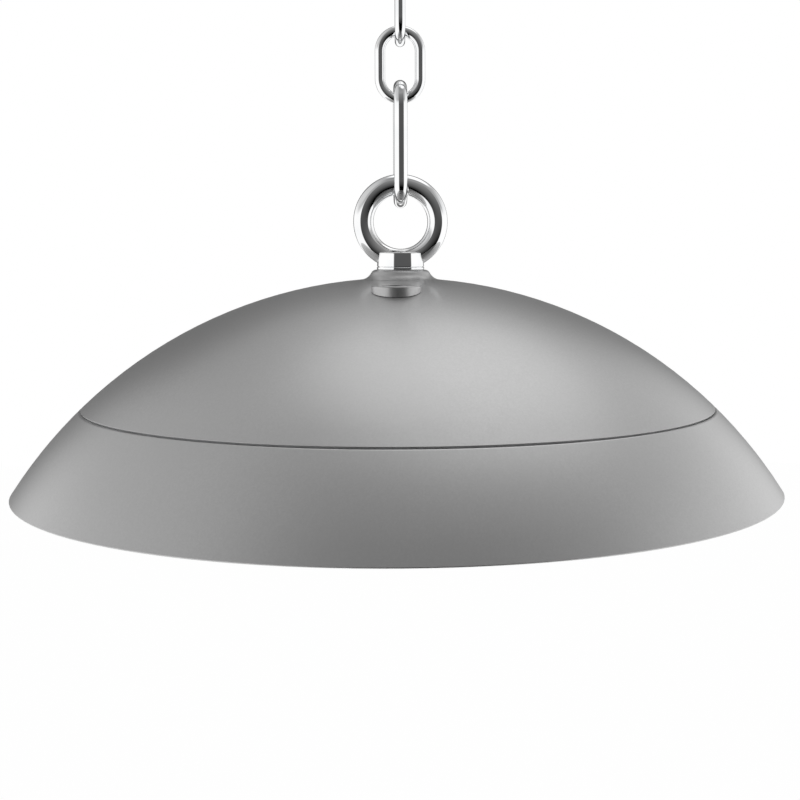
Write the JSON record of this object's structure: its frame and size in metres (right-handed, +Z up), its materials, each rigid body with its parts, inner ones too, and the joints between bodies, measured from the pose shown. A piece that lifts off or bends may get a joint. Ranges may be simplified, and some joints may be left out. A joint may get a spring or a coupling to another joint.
{
  "type": "high bay light",
  "caption": "Silver shallow-dome high bay light hung by an eye bolt on a short chain, with an LED lens plate inside its mouth.",
  "frame": {"origin": "the hang point: inside top of the top link, where the ceiling hook's wire bears", "axes": "+Z up along the chain, -Y the front, the side with the cable entry"},
  "size_m": [0.439, 0.439, 0.2946],
  "materials": {
    "chain_steel": "polished and chrome plated round wire",
    "eye_chrome": "polished forging, chrome plated",
    "zinc_steel": "bright zinc plate",
    "dome_enamel": "silver metallic lacquer under a clear coat, fine flake",
    "bezel_enamel": "satin silver lacquer",
    "cast_aluminium": "as cast, lightly tumbled",
    "driver_aluminium": "satin anodised extrusion",
    "sheet_steel": "zinc coated sheet",
    "board_white": "white solder mask",
    "led_phosphor": "yellow phosphor",
    "lens_clear": "clear moulded polycarbonate",
    "black_rubber": "moulded silicone",
    "block_white": "moulded white nylon",
    "lead_sheath": "extruded PVC"
  },
  "bodies": {
    "top_link": {"top_link": "chain_steel"},
    "chain_link": {"chain_link": "chain_steel"},
    "long_link": {"long_link": "chain_steel"},
    "luminaire": {"eye_bolt": "eye_chrome", "eye_washer": "zinc_steel", "hub_washer": "zinc_steel", "lock_nut": "zinc_steel", "upper_dome": "dome_enamel", "lower_skirt": "dome_enamel", "seam_gasket": "black_rubber", "housing_screws": "zinc_steel", "heat_sink": "cast_aluminium", "led_board": "board_white", "led_packages": "led_phosphor", "board_screws": "zinc_steel", "lens_plate": "lens_clear", "lens_gasket": "black_rubber", "bezel_ring": "bezel_enamel", "bezel_screws": "zinc_steel", "driver_tray": "sheet_steel", "tray_screws": "zinc_steel", "driver_case": "driver_aluminium", "driver_cap_input": "sheet_steel", "driver_cap_output": "sheet_steel", "driver_screws": "zinc_steel", "terminal_block": "block_white", "terminal_screws": "zinc_steel", "input_lead": "lead_sheath", "led_lead": "lead_sheath", "lead_grommet": "black_rubber", "entry_bush": "dome_enamel", "entry_seal": "black_rubber", "entry_locknut": "zinc_steel"}
  },
  "joints": [
    {"name": "chain_link_swing", "type": "hinge", "parent": "top_link", "child": "chain_link", "pos_m": [0, 0, -0.0291], "axis": [1, 0, 0], "range_deg": [-90, 90]},
    {"name": "long_link_swing", "type": "hinge", "parent": "chain_link", "child": "long_link", "pos_m": [0, 0, -0.06025], "axis": [-0.0732, 0.9973, 0], "range_deg": [-90, 90]},
    {"name": "luminaire_swing", "type": "hinge", "parent": "long_link", "child": "luminaire", "pos_m": [0, 0, -0.1152], "axis": [1, 0, 0], "range_deg": [-90, 90]}
  ]
}
